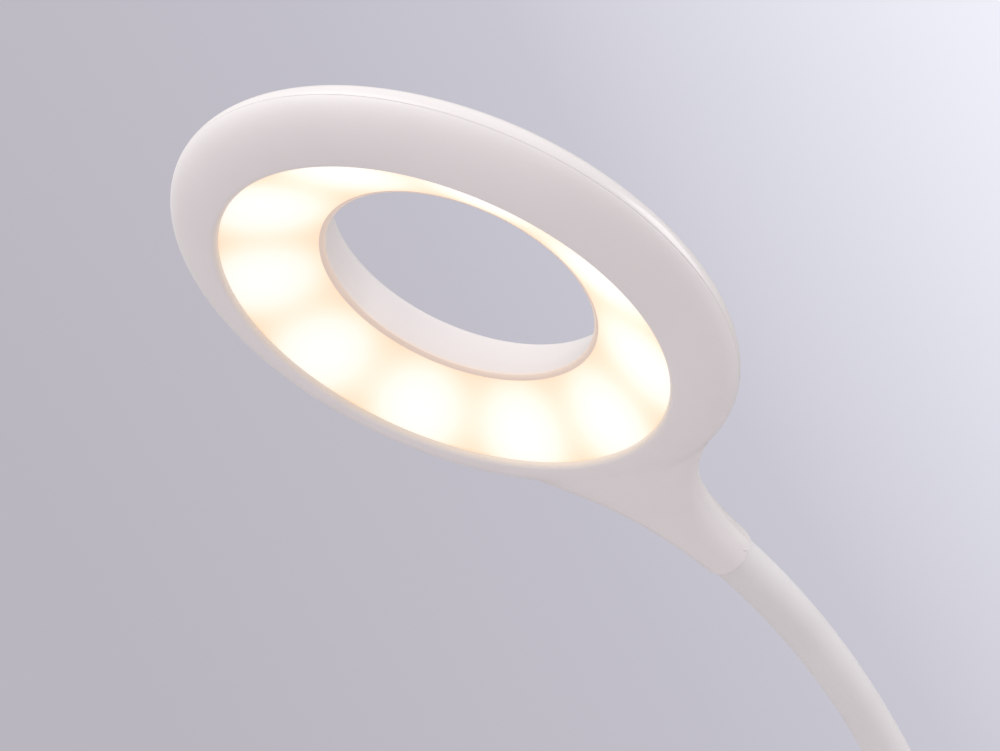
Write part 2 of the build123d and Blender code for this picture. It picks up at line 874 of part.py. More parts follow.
def make_washer():
    """The washer between the nut and the counterweight."""
    bottom = weight_height - washer_thickness
    washer = rod(washer_radius, bottom, weight_height, 0, neck_offset)
    return washer - rod(ferrule_thread_radius + hole_clearance, 0, base_height, 0, neck_offset)


def make_collar():
    """The tapered trim that covers the ferrule's flange."""
    flange_top = base_height + ferrule_flange_height
    inner = ferrule_flange_radius + touch_clearance
    bore = neck_radius + touch_clearance
    face = Plane.XZ * make_face(
        Curve()
        + outline(
            (inner, base_height),
            (collar_radius, base_height),
            (collar_top_radius, collar_top),
            (bore, collar_top),
            (bore, flange_top + touch_clearance),
            (inner, flange_top + touch_clearance),
            (inner, base_height),
        )
    )
    collar = revolve(face, Axis.Z)
    top_edge = collar.edges().filter_by(GeomType.CIRCLE).filter_by(
        lambda item: abs(item.radius - collar_top_radius) < 0.01
    )
    return Pos(0, neck_offset, 0) * fillet(top_edge, collar_round)


add("neck_bottom_ferrule", make_bottom_ferrule())
add("ferrule_nut", make_nut())
add("lock_washer", make_washer())
add("neck_collar", make_collar())


def make_battery():
    """The flat battery pack."""
    size_x, size_y, size_z = battery_size
    bottom = weight_top + battery_pad_size[2]
    return block(size_x, size_y, bottom, bottom + size_z, 0, battery_centre_y, battery_corner)


def make_battery_pad():
    """The foam pad that the battery is stuck to."""
    size_x, size_y, size_z = battery_pad_size
    return block(size_x, size_y, weight_top, weight_top + size_z, 0, battery_centre_y, battery_corner)


add("battery_pack", make_battery())
add("battery_pad", make_battery_pad())


def make_control_board():
    """The board under the button."""
    size_x, size_y, size_z = control_board_size
    board = block(
        size_x, size_y, control_board_height, control_top, 0, control_board_centre_y, control_board_corner
    )
    for x, y in control_screw_places:
        board = board - rod(small_screw[0] + hole_clearance, 0, base_height, x, y)
    return board


def control_chip(size, x, y, corner=0.0):
    """A component on the control board, its place given from the button's axis."""
    size_x, size_y, size_z = size
    return block(size_x, size_y, control_top, control_top + size_z, x, button_y + y, corner)


def make_control_chips():
    """The control board's larger components."""
    small_size, (small_x, small_y) = small_chips
    chips = [
        control_chip(driver_chip[0], *driver_chip[1]),
        control_chip(coil_chip[0], *coil_chip[1], coil_corner),
        control_chip(small_size, -small_x, small_y),
        control_chip(small_size, small_x, small_y),
        control_chip(status_chip, 0, status_lens_offset),
    ]
    return Compound(children=chips)


def make_switch():
    """The tactile switch, hollow where the button's pin pushes it."""
    size_x, size_y, size_z = switch_size
    body = block(size_x, size_y, control_top, control_top + size_z, 0, button_y)
    bore_floor = control_top + switch_floor
    return body - rod(button_pin_radius + touch_clearance, bore_floor, base_height, 0, button_y)


def make_button():
    """The power button with its retaining flange and its pin."""
    flange_top = base_inner_top - screw_clearance
    flange_bottom = flange_top - button_flange_thickness
    cap = rod(button_radius, flange_bottom, base_height + button_proud, 0, button_y)
    cap = cap + rod(button_radius + button_flange, flange_bottom, flange_top, 0, button_y)
    pin_tip = control_top + switch_floor + button_travel + touch_clearance
    button = cap + rod(button_pin_radius, pin_tip, flange_bottom, 0, button_y)
    top_edges = button.edges().filter_by(GeomType.CIRCLE).group_by(Axis.Z)[-1]
    return fillet(top_edges, button_round)


add("control_board", make_control_board())
add("control_chips", make_control_chips())
add("button_switch", make_switch())
add("power_button", make_button())
lens_bottom = control_top + status_lens_gap
add("status_lens", rod(status_lens_radius, lens_bottom, base_height, 0, status_lens_y))


def make_charger_board():
    """The small board that carries the charging socket."""
    size_x, size_y, size_z = charger_board_size
    middle_y = charger_board_end - size_y / 2
    board = block(size_x, size_y, charger_board_height, charger_top, 0, middle_y)
    for side in (-1, 1):
        board = board - rod(
            small_screw[0] + hole_clearance, 0, base_height, side * charger_screw_x, charger_screw_y
        )
    return board


def make_socket():
    """The charging socket: a thin metal shell with a tongue inside."""
    size_x, size_y, size_z = socket_size
    plane = socket_plane(socket_front - size_y)
    shell = extrude(plane * SlotOverall(size_x, size_z), size_y)
    mouth = SlotOverall(size_x - 2 * socket_wall, size_z - 2 * socket_wall)
    shell = shell - extrude(plane.offset(socket_back_wall) * mouth, size_y)
    tongue_x, tongue_y, tongue_z = socket_tongue
    return shell + extrude(plane.offset(socket_tongue_root) * Rectangle(tongue_x, tongue_z), tongue_y)


def make_board_screws():
    """The screws of both boards: the control board's from below, the charger board's from above."""
    shank, head, height = small_screw
    screws = []
    for x, y in control_screw_places:
        tip = control_top + control_screw_bite
        screws.append(screw_up(shank, head, height, control_board_height, tip, x, y))
    for side in (-1, 1):
        x = side * charger_screw_x
        tip = floor_top - charger_screw_bite
        screws.append(screw_down(shank, head, height, charger_top, tip, x, charger_screw_y))
    return Compound(children=screws)


add("charger_board", make_charger_board())
add("usb_socket", make_socket())
add("board_screws", make_board_screws())


# Leads inside the base

board_front = control_board_centre_y - control_board_size[1] / 2
board_rear = control_board_centre_y + control_board_size[1] / 2
charger_board_inner = charger_board_end - charger_board_size[1]
lead_gutter = -(weight_radius + lead_gutter_gap)
battery_lead_x = -12.0
charger_lead_x = -14.0
charger_connector_x = -5.6
lamp_lead_x = 8.0


def connector(x, edge, side, bottom):
    """A connector near a board's edge; side is the direction in Y in which its lead leaves."""
    size_x, size_y, size_z = connector_size
    middle_y = edge - side * (connector_inset + size_y / 2)
    return block(size_x, size_y, bottom, bottom + size_z, x, middle_y)


def make_connectors():
    """The control board's three connectors and the charger board's one."""
    connectors = [
        connector(charger_connector_x, charger_board_inner, -1, charger_top),
        connector(battery_lead_x, board_rear, 1, control_top),
        connector(charger_lead_x, board_front, -1, control_top),
        connector(lamp_lead_x, board_front, -1, control_top),
    ]
    return Compound(children=connectors)


def make_battery_leads():
    """The two short leads between the battery and the control board."""
    battery_front = battery_centre_y - battery_size[1] / 2
    exit_height = weight_top + battery_pad_size[2] + battery_size[2] * 0.6
    leads = []
    for side in (-1, 1):
        x = battery_lead_x + side * lead_height
        points = [
            (x, battery_front, exit_height),
            (x, battery_front - battery_lead_run, exit_height),
            (x, board_rear + battery_lead_run, control_top + lead_height),
            (x, board_rear - connector_inset, control_top + lead_height),
        ]
        leads.append(lead(lead_radius, points))
    return Compound(children=leads)


def make_charger_leads():
    """The lead from the charger board, under the counterweight and up to the control board."""
    exit_height = charger_top + lead_height - charger_lead_drop
    points = [
        (charger_connector_x, charger_board_inner + connector_inset, exit_height),
        (charger_connector_x, charger_board_inner - 2 * lead_radius, exit_height),
        (charger_lead_x, neck_offset - washer_radius, exit_height - 2 * charger_lead_drop),
        (charger_lead_x, lead_gutter, exit_height - charger_lead_drop),
        (charger_lead_x, lead_gutter, control_top + lead_height),
        (charger_lead_x, board_front + connector_inset, control_top + lead_height),
    ]
    return lead(lead_radius, points)


def make_lamp_leads():
    """The lead from the neck's lower end, under the counterweight and up to the control board."""
    low = floor_top + lamp_lead_radius + 2 * touch_clearance
    high = low + 3 * touch_clearance
    points = [
        (0, neck_offset, ferrule_end_height + core_end_margin),
        (0, neck_offset, high),
        (lamp_lead_x / 2, neck_offset - 1.5 * lamp_lead_x, low),
        (lamp_lead_x, 0, high),
        (lamp_lead_x, lead_gutter, high + 4 * touch_clearance),
        (lamp_lead_x, lead_gutter, control_top + lead_height),
        (lamp_lead_x, board_front + connector_inset, control_top + lead_height),
    ]
    return lead(lamp_lead_radius, points)


add("lead_connectors", make_connectors())
add("battery_leads", make_battery_leads())
add("charger_leads", make_charger_leads())
add("lamp_leads", make_lamp_leads())


os.makedirs("parts", exist_ok=True)
for name, shape in parts.items():
    export_step(shape, os.path.join("parts", name + ".step"))
print(len(parts), "nodes written")
print("mouth centre", tuple(round(value, 3) for value in (head_place * Pos(0, 0, 0)).position))
for index, (station, bend) in enumerate(joints):
    print("joint", index + 1, [round(value, 4) for value in station])
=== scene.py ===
import json
from math import asin, atan2, cos, degrees, exp, hypot, pi, radians, sin, sqrt, tan

import bmesh
import bpy
import numpy as np
from mathutils import Matrix, Vector


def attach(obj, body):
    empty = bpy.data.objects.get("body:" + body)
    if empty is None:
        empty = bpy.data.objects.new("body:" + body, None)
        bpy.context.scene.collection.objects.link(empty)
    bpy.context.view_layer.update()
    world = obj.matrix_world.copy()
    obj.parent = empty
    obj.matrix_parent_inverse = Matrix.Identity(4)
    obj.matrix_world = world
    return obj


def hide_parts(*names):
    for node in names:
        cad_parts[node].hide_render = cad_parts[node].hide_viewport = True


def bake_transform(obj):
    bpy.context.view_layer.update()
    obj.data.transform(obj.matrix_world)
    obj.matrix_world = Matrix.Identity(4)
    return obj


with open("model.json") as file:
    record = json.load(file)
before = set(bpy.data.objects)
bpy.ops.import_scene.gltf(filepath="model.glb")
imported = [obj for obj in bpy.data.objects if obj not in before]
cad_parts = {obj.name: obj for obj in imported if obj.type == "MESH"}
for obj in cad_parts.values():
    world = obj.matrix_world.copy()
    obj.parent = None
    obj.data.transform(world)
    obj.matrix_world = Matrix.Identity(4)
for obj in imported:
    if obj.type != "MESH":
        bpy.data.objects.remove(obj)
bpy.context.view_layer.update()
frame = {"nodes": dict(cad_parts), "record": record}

# Sizes of the lamp head in millimetres, in its own frame: x across, s from the ring's axis along the stem,
# d from the mouth's plane towards the back.
MOUTH_RADIUS = 48.0
MOUTH_ROUND = 1.2
LIP_RADIUS = MOUTH_RADIUS + MOUTH_ROUND
HEAD_RADIUS = 60.2
WIDEST_DEPTH = 6.0
HOLE_TAPER = 16.5

# The rear cover's section from the outline to the hole: each bend's radius and its turn in degrees
SHOULDER_TURN = 47.0
DOME_TURN = 19.0
RIM_BENDS = [
    (3.8, SHOULDER_TURN),
    (85.0, DOME_TURN),
    (2.3, 180.0 - SHOULDER_TURN - DOME_TURN - HOLE_TAPER),
]

# The tapered wall of the hole and the lip at its front; the bends are shares of the lip's width and slope.
HOLE_WALL_SHARES = [0.3, 0.6, 0.9, 0.97, 1.0]
LIP_DEPTH = 11.7
LIP_SLOPE = 0.8
LIP_WIDTH = 1.1
LIP_BENDS = [(0.12, 0.3), (0.4, 0.7), (0.75, 0.95)]
LIP_HEIGHT = 2.2
LIP_WALL = 1.9

# The shells' walls, which get thinner along the stem
WALL = 1.5
END_WALL = 0.65
THINNING_START = 62.0
THINNING_RUN = 40.0

# The seam between the two halves
SEAM_DEPTH = 5.3
STEM_SEAM_DEPTH = 12.0
SEAM_CLIMB_START = MOUTH_RADIUS + 2.0
SEAM_CLIMB_RUN = 30.0
SEAM_ROUND = 0.18

# The stem: its flare, its ends and how its front and back run into the ring
STEM_LENGTH = 43.3
STEM_REACH = HEAD_RADIUS + STEM_LENGTH
STEM_END_RADIUS = 6.8
STEM_WAIST = 6.95
NECK_DEPTH = 10.0
FLARE_RADIUS = 62.0
FLARE_MIDDLE = STEM_WAIST + FLARE_RADIUS
WAIST_REACH = sqrt((HEAD_RADIUS + FLARE_RADIUS) ** 2 - FLARE_MIDDLE**2)
FLARE_START = WAIST_REACH * HEAD_RADIUS / (HEAD_RADIUS + FLARE_RADIUS)
STEM_FRONT_START = 0.5
STEM_CROWN = 16.0
CROWN_END = HEAD_RADIUS + 4.0
SINK_DEPTH = 4.0
SINK_RUN = 9.0
FRONT_BLEND = 3.0
BACK_BLEND = 4.0
LEAST_BLEND = 0.01
EDGE_SLOPE = 3

# The neck, from the flange at its foot to the end of the head's stem
NECK_RADIUS = 6.0
NECK_BORE = 3.62
NECK_OFFSET = 40.0
SLEEVE_START = 27.0
FIRST_JOINT = 17.0
LINK = 23.5
JOINTS = 12
STRAIGHT_LINKS = 4
LOWER_LINKS = 3
UPPER_LINKS = 4
LAST_RUN = 8.6
SLEEVE_INSERT = 10.0
HEAD_TILT = 27.2
UPPER_BEND = 240.0
UPPER_TURN = degrees(UPPER_LINKS * LINK / UPPER_BEND)
LOWER_TURN = 90.0 - HEAD_TILT - UPPER_TURN
LOWER_BEND = LOWER_LINKS * LINK / radians(LOWER_TURN)
NECK_RUNS = [
    (FIRST_JOINT + STRAIGHT_LINKS * LINK, 0),
    (LOWER_LINKS * LINK, LOWER_BEND),
    (UPPER_LINKS * LINK, UPPER_BEND),
    (LAST_RUN + SLEEVE_INSERT, 0),
]
NECK_LENGTH = FIRST_JOINT + (JOINTS - 1) * LINK + LAST_RUN
SLEEVE_ROWS = 20
SLEEVE_SIDES = 72

# The diffuser and the light that reaches it from the chips behind
DIFFUSER_FRONT = 1.7
DIFFUSER_GAP = 0.02
DIFFUSER_WALL = 1.7
DIFFUSER_BEND = (45.5, DIFFUSER_FRONT + 3.6)
DIFFUSER_RIM = 50.6
DIFFUSER_RIM_DEPTHS = (3.1, 1.75)
CONE_ROWS = 40
CONE_SIDES = 240
LED_COUNT = 10
GLOW_CIRCLE = 42.0
GLOW_SPREAD = 9.0
GLOW_GAIN = 4.6

# How far a painted glow of the diffuser's light tints the edges of the two shells beside the diffuser
MOUTH_PAINTED_GLOW = 0.9
LIP_PAINTED_GLOW = 0.7
WALL_PAINTED_GLOW = 0.30
WALL_PAINTED_GLOW_RUN = 3.0
PAINTED_GLOW_REACH = 2.0

# The head's grid runs round the ring and out along the stem. A column is a line from the mouth to the hole.
END_COLUMNS = 8
SIDE_COLUMNS = 30
RING_COLUMNS = 74
HALF_COLUMNS = END_COLUMNS + SIDE_COLUMNS + RING_COLUMNS
END_ANGLE = radians(7.0)
SIDE_TURN = radians(80.0)
RING_WRAP = 9.0
STEM_WRAP = 1.5
SEAM_SHARE = sqrt(1 - ((STEM_SEAM_DEPTH - NECK_DEPTH) / STEM_END_RADIUS) ** 2)
SEAM_HALVINGS = 30
EDGE_STEPS = [0.0, 0.05, 0.13, 0.24, 0.35, 0.6]
FRONT_ROWS = 40
BACK_ROWS = 56
EVEN_SHARE = 0.55
FRONT_INNER_STEP = 3
BACK_INNER_STEP = 4

# How finely the curves are measured before they are cut into rows and columns
FINE_OUTLINE = 400
FINE_FRONT = 90
FINE_SIDE = 60
FINE_BACK = 120
MOUTH_STEPS = 8
RIM_STEPS = 14
INNER_RIM_STEPS = 5
SLOPE_STEP = 0.02
MERGE_DISTANCE = 0.002

# Shading and the materials' fine changes
SHARP_ANGLE = radians(35.0)
TINT_SCALE = 30.0
WEAR_SCALE = 4 * TINT_SCALE
GRAIN_HEIGHT = 0.0002
COAT_ROUGHNESS = 0.14
WEAR = 0.1

# The floor in metres
FLOOR_RADIUS = 1.4
FLOOR_DROP = 0.0005
FLOOR_FADE = (0.45, 1.3)

# The camera: its place from the mouth's centre in metres, its way to the right and its way forward
CAMERA_OFFSET = (0.1781, -0.1540, -0.0553)
CAMERA_RIGHT = (0.6945, 0.7196, 0.0)
CAMERA_FORWARD = (-0.7054, 0.6809, 0.1977)

# The world: each direction is where it is brightest, and each range what that direction is mapped from or to
BACKDROP_DIRECTION = (0.6615, 0.5430, 0.4903)
BACKDROP_RANGE = (-0.35, 0.45)
AMBIENT_DIRECTION = (0.063, -0.756, 0.650)
AMBIENT_STRENGTH = (0.21, 1.13)

scene = bpy.context.scene


# Small helpers


def smooth_step(value):
    """0 below 0, 1 above 1 and a smooth climb between."""
    value = min(1.0, max(0.0, value))
    return value * value * (3 - 2 * value)


def smooth_min(a, b, blend):
    """The smaller of two numbers, rounded off where they are closer than the blend."""
    near = max(blend - abs(a - b), 0.0) / blend
    return min(a, b) - near * near * blend / 4


def neck_place(distance):
    """The matrix of the neck's section at a distance from its foot: millimetres there, metres here."""
    y, z, lean = NECK_OFFSET, SLEEVE_START, 0.0
    for length, bend in NECK_RUNS:
        run = min(distance, length)
        if bend == 0:
            y = y - run * sin(radians(lean))
            z = z + run * cos(radians(lean))
        else:
            new_lean = lean + degrees(run / bend)
            y = y - bend * (cos(radians(lean)) - cos(radians(new_lean)))
            z = z + bend * (sin(radians(new_lean)) - sin(radians(lean)))
            lean = new_lean
        distance = distance - run
        if distance <= 0:
            break
    place = Matrix.Translation((0, y / 1000, z / 1000)) @ Matrix.Rotation(radians(lean), 4, "X")
    return place @ Matrix.Scale(0.001, 4)


# The head's frame hangs on the neck's end: its s axis runs back along the neck, its d axis is the neck's y.
HEAD_IN_NECK = Matrix(((1, 0, 0, 0), (0, 0, 1, -NECK_DEPTH), (0, -1, 0, STEM_REACH), (0, 0, 0, 1)))
HEAD = neck_place(NECK_LENGTH) @ HEAD_IN_NECK
MOUTH_CENTRE = HEAD.translation


def finish_mesh(name, mesh_data, body, slot, *replaced):
    """Turns a bmesh into a piece that rides on a body, shaded smooth up to an angle between its faces."""
    bmesh.ops.recalc_face_normals(mesh_data, faces=mesh_data.faces[:])
    mesh = bpy.data.meshes.new(name)
    mesh_data.to_mesh(mesh)
    mesh_data.free()
    mesh.shade_smooth()
    mesh.set_sharp_from_angle(angle=SHARP_ANGLE)
    piece = bpy.data.objects.new(name, mesh)
    scene.collection.objects.link(piece)
    mesh.materials.append(MATERIALS[slot])
    if body:
        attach(piece, body)
    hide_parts(*replaced)
    return piece


def spun(points, steps):
    """A bmesh from a closed outline of (radius, height) points turned about Z."""
    mesh_data = bmesh.new()
    corners = [mesh_data.verts.new((radius, 0, height)) for radius, height in points]
    for start, end in zip(corners, corners[1:] + corners[:1]):
        mesh_data.edges.new((start, end))
    bmesh.ops.spin(
        mesh_data,
        geom=mesh_data.verts[:] + mesh_data.edges[:],
        cent=(0, 0, 0),
        axis=(0, 0, 1),
        angle=2 * pi,
        steps=steps,
        use_merge=True,
    )
    return mesh_data


def arc(middle, radius, start, turn, count):
    """Points of an arc in a plane, with both ends."""
    points = []
    for index in range(count + 1):
        angle = radians(start + turn * index / count)
        points.append((middle[0] + radius * cos(angle), middle[1] + radius * sin(angle)))
    return points


# The head's outer surface


def rim_arcs():
    """The rear cover's shoulder, dome and hole rim as (middle, radius, start, turn)."""
    arcs = []
    angle = 0.0
    surface = (HEAD_RADIUS, WIDEST_DEPTH)
    for radius, turn in RIM_BENDS:
        middle = (surface[0] - radius * cos(radians(angle)), surface[1] - radius * sin(radians(angle)))
        arcs.append((middle, radius, angle, turn))
        angle = angle + turn
        surface = (middle[0] + radius * cos(radians(angle)), middle[1] + radius * sin(radians(angle)))
    return arcs


SHOULDER, DOME, RIM = rim_arcs()
SHOULDER_END = SHOULDER[0][0] + SHOULDER[1] * cos(radians(SHOULDER_TURN))
RIM_START = DOME[0][0] + DOME[1] * cos(radians(DOME[2] + DOME_TURN))
RIM_END = arc(*RIM, 1)[-1]
HEAD_DEPTH = RIM[0][1] + RIM[1]
HOLE_RADIUS = RIM_END[0] - (RIM_END[1] - LIP_DEPTH - LIP_SLOPE) * tan(radians(HOLE_TAPER))
HOLE_OUTER = HOLE_RADIUS + LIP_WIDTH
DIFFUSER_HOLE = HOLE_OUTER + DIFFUSER_GAP


def dome_depth(radius):
    """The rear cover's depth at a distance from the ring's axis."""
    if radius > HEAD_RADIUS:
        return WIDEST_DEPTH - EDGE_SLOPE * (radius - HEAD_RADIUS)
    middle, bend = SHOULDER[:2] if radius > SHOULDER_END else DOME[:2]
    return middle[1] + sqrt(max(0.0, bend**2 - (radius - middle[0]) ** 2))


def half_width(reach):
    """Half the stem's width: a flare from the ring, then a taper."""
    if reach <= WAIST_REACH:
        return FLARE_MIDDLE - sqrt(FLARE_RADIUS**2 - (reach - WAIST_REACH) ** 2)
    share = (reach - WAIST_REACH) / (STEM_REACH - WAIST_REACH)
    return STEM_WAIST + (STEM_END_RADIUS - STEM_WAIST) * share


def stem_section(reach):
    """The depths of the stem's edge, front and back at a distance from the ring's axis."""
    share = max(0.0, (reach - FLARE_START) / (STEM_REACH - FLARE_START))
    rise = min(1.0, max(0.0, (reach - FLARE_START) / (CROWN_END - FLARE_START)))
    blend = smooth_step(share)
    edge = WIDEST_DEPTH + (NECK_DEPTH - WIDEST_DEPTH) * blend
    front = STEM_FRONT_START + (NECK_DEPTH - STEM_END_RADIUS - STEM_FRONT_START) * share
    back = HEAD_DEPTH / 2 + (STEM_CROWN - HEAD_DEPTH / 2) * rise
    back = back + (NECK_DEPTH + STEM_END_RADIUS - STEM_CROWN) * blend
    return edge, front, back


def crown(x, reach):
    """How far a point stands above the stem's edge: 1 in the middle, 0 at the sides."""
    share = min(1.0, abs(x) / half_width(reach))
    return sqrt(1 - share * share)


def front_depth(x, reach):
    """The depth of the front housing's surface."""
    radius = hypot(x, reach)
    share = min(1.0, max(0.0, (radius - LIP_RADIUS) / (HEAD_RADIUS - LIP_RADIUS)))
    ring = WIDEST_DEPTH - WIDEST_DEPTH * sqrt(1 - share * share)
    ring = ring + EDGE_SLOPE * max(0.0, radius - HEAD_RADIUS)
    if reach <= FLARE_START:
        return ring
    edge, front, _ = stem_section(reach)
    rise = crown(x, reach)
    sink = SINK_DEPTH * (1 - smooth_step((reach - FLARE_START) / SINK_RUN))
    stem = edge - rise * (edge - front) + rise * sink
    return smooth_min(ring, stem, max(LEAST_BLEND, FRONT_BLEND * rise))


def back_depth(x, reach):
    """The depth of the rear cover's surface."""
    ring = dome_depth(hypot(x, reach))
    if reach <= FLARE_START:
        return ring
    edge, _, back = stem_section(reach)
    rise = crown(x, reach)
    stem = edge + rise * (back - edge)
    return -smooth_min(-ring, -stem, max(LEAST_BLEND, BACK_BLEND * rise))


def seam_depth(reach):
    """The depth of the seam between the two halves, which climbs from the rim to the stem's middle."""
    climb = smooth_step((reach - SEAM_CLIMB_START) / SEAM_CLIMB_RUN)
    return SEAM_DEPTH + (STEM_SEAM_DEPTH - SEAM_DEPTH) * climb


# The head's grid


def side_reaches():
    """The distances along the stem of its side columns, evenly spaced along its outline."""
    fine = np.linspace(STEM_REACH, FLARE_START, FINE_OUTLINE)
    widths = np.array([half_width(reach) for reach in fine])
    lengths = np.concatenate([[0], np.cumsum(np.hypot(np.diff(fine), np.diff(widths)))])
    even = np.linspace(0, lengths[-1], SIDE_COLUMNS + 1)
    return np.interp(even, lengths, fine)


SIDE_REACHES = side_reaches()
FLARE_ANGLE = asin(half_width(FLARE_START) / HEAD_RADIUS)


class Column:
    """One line of the head's grid: its outline point, its angle at the mouth and its way inwards."""

    def __init__(self, index):
        self.end = index < END_COLUMNS
        if self.end:
            turn = pi / 2 * (1 - index / (END_COLUMNS - 1))
            self.outline = (STEM_END_RADIUS * cos(turn), STEM_REACH)
            self.angle = END_ANGLE * index / END_COLUMNS
            self.inward = (-1.0, 0.0)
            return
        if index < END_COLUMNS + SIDE_COLUMNS:
            step = index - END_COLUMNS
            share = step / SIDE_COLUMNS
            reach = SIDE_REACHES[step]
            self.outline = (half_width(reach), reach)
            self.angle = END_ANGLE + (FLARE_ANGLE - END_ANGLE) * share
            mix = smooth_step(share)
            across = Vector((-1, 0)) * (1 - mix) - Vector((sin(FLARE_ANGLE), cos(FLARE_ANGLE))) * mix
            self.inward = tuple(across.normalized() * (STEM_WRAP + (RING_WRAP - STEM_WRAP) * mix))
            return
        share = (index - END_COLUMNS - SIDE_COLUMNS) / RING_COLUMNS
        self.angle = FLARE_ANGLE + (pi - FLARE_ANGLE) * share
        self.outline = (HEAD_RADIUS * sin(self.angle), HEAD_RADIUS * cos(self.angle))
        self.inward = (-RING_WRAP * sin(self.angle), -RING_WRAP * cos(self.angle))

    def on_ring(self, radius, depth):
        """The column's point at a radius round the ring's axis."""
        return (radius * sin(self.angle), radius * cos(self.angle), depth)

    def across_front(self, share):
        """A point on the way from the mouth's lip to the outline."""
        start = self.on_ring(LIP_RADIUS, 0)
        x = start[0] + (self.outline[0] - start[0]) * share
        reach = start[1] + (self.outline[1] - start[1]) * share
        return (x, reach, front_depth(x, reach))

    def past_outline(self, share):
        """A point just behind the outline; share 1 is the whole way round the section's side."""
        x = self.outline[0] + self.inward[0] * share
        reach = self.outline[1] + self.inward[1] * share
        return (x, reach, back_depth(x, reach))

    def around(self, turn):
        """A point of the section near the outline; turn is negative on the front and positive behind."""
        if turn <= 0:
            return self.across_front(cos(turn))
        return self.past_outline(1 - cos(turn))

    def seam_turn(self):
        """The turn at which the section crosses the seam."""
        low, high = -SIDE_TURN, SIDE_TURN
        for _ in range(SEAM_HALVINGS):
            turn = (low + high) / 2
            point = self.around(turn)
            if point[2] < seam_depth(point[1]):
                low = turn
            else:
                high = turn
        return (low + high) / 2

    def front_line(self):
        """Fine points of the front housing's surface from the lip to the seam or the stem's end."""
        last = 0.0 if self.end else self.seam_turn()
        return [self.around(turn) for turn in np.linspace(-pi / 2, last, FINE_FRONT)]

    def back_line(self):
        """Fine points of the rear cover's surface from the seam or the stem's end to the hole's rim."""
        hole = self.on_ring(RIM_START, 0)
        if self.end:
            points = []
            start = (self.outline[0] * SEAM_SHARE, self.outline[1])
            first = 0
        else:
            points = [self.around(turn) for turn in np.linspace(self.seam_turn(), SIDE_TURN, FINE_SIDE)]
            start = points[-1]
            first = 1
        for index in range(first, FINE_BACK + 1):
            share = index / FINE_BACK
            x = start[0] + (hole[0] - start[0]) * share
            reach = start[1] + (hole[1] - start[1]) * share
            points.append((x, reach, back_depth(x, reach)))
        return points


COLUMNS = [Column(index) for index in range(HALF_COLUMNS + 1)]


def resample(points, rows, edge_at_start):
    """A line's points by its length: a few close ones at its seam edge, and the rows over what is left."""
    line = np.array(points)
    lengths = np.concatenate([[0], np.cumsum(np.linalg.norm(np.diff(line, axis=0), axis=1))])
    total = lengths[-1]
    shares = np.linspace(0, 1, rows)
    if not edge_at_start:
        # The front's rows draw together towards its rounded side.
        shares = shares * EVEN_SHARE + (1 - EVEN_SHARE) * np.sin(shares * pi / 2)
    wide = shares * (total - EDGE_STEPS[-1])
    if edge_at_start:
        places = np.concatenate([EDGE_STEPS, EDGE_STEPS[-1] + wide[1:]])
    else:
        places = np.concatenate([wide, [total - step for step in reversed(EDGE_STEPS[:-1])]])
    return np.stack([np.interp(places, lengths, line[:, axis]) for axis in range(3)], axis=1)


def front_normals(grid):
    """Unit normals out of the front housing at the points of its grid, from their neighbours."""
    along = np.roll(grid, -1, axis=1) - np.roll(grid, 1, axis=1)
    across = np.gradient(grid, axis=0)
    normals = np.cross(across, along)
    normals = normals / np.maximum(np.linalg.norm(normals, axis=2, keepdims=True), 1e-9)
    if normals[FRONT_ROWS // 2, HALF_COLUMNS, 2] > 0:
        normals = -normals
    return normals


def back_normals(grid):
    """Unit normals out of the rear cover at a grid's points, from its formula."""
    step = SLOPE_STEP
    normals = np.zeros_like(grid)
    for row in range(grid.shape[0]):
        for column in range(grid.shape[1]):
            x, reach = grid[row, column, :2]
            slope_x = (back_depth(x + step, reach) - back_depth(x - step, reach)) / (2 * step)
            slope_reach = (back_depth(x, reach + step) - back_depth(x, reach - step)) / (2 * step)
            normals[row, column] = Vector((-slope_x, -slope_reach, 1)).normalized()
    return normals


def all_round(lines):
    """A grid for the whole head from the lines of one half, mirrored in x."""
    right = np.stack(lines, axis=1)
    left = right[:, -2:0:-1].copy()
    left[:, :, 0] *= -1
    return np.concatenate([right, left], axis=1)


def ring_rows(points):
    """Rows of constant radius and depth for the whole head."""
    return all_round([np.array([column.on_ring(*point) for point in points]) for column in COLUMNS])


def wall_at(grid):
    """The wall's thickness at each point: thinner towards the stem's end."""
    share = np.clip((grid[:, :, 1:2] - THINNING_START) / THINNING_RUN, 0, 1)
    share = share * share * (3 - 2 * share)
    return WALL + (END_WALL - WALL) * share


def round_edge(grid, normals, edge_at_start):
    """Moves the rows at the seam inwards, so that the edge is rounded."""
    for step, distance in enumerate(EDGE_STEPS):
        if distance < SEAM_ROUND:
            drop = SEAM_ROUND - sqrt(SEAM_ROUND**2 - (SEAM_ROUND - distance) ** 2)
            row = step if edge_at_start else grid.shape[0] - 1 - step
            grid[row] = grid[row] - normals[row] * drop
    return grid


def from_grid(grid):
    """A closed bmesh whose rows and columns take the grid's places: a ring is spun, then moved there."""
    rows, columns = grid.shape[:2]
    mesh_data = spun([(row + 1.0, 0.0) for row in range(rows)], columns)
    for vert in mesh_data.verts:
        row = round(hypot(vert.co.x, vert.co.y)) - 1
        column = round(atan2(vert.co.y, vert.co.x) / (2 * pi / columns)) % columns
        vert.co = Vector(grid[row][column])
    bmesh.ops.remove_doubles(mesh_data, verts=mesh_data.verts[:], dist=MERGE_DISTANCE)
    bmesh.ops.transform(mesh_data, matrix=HEAD, verts=mesh_data.verts[:])
    return mesh_data


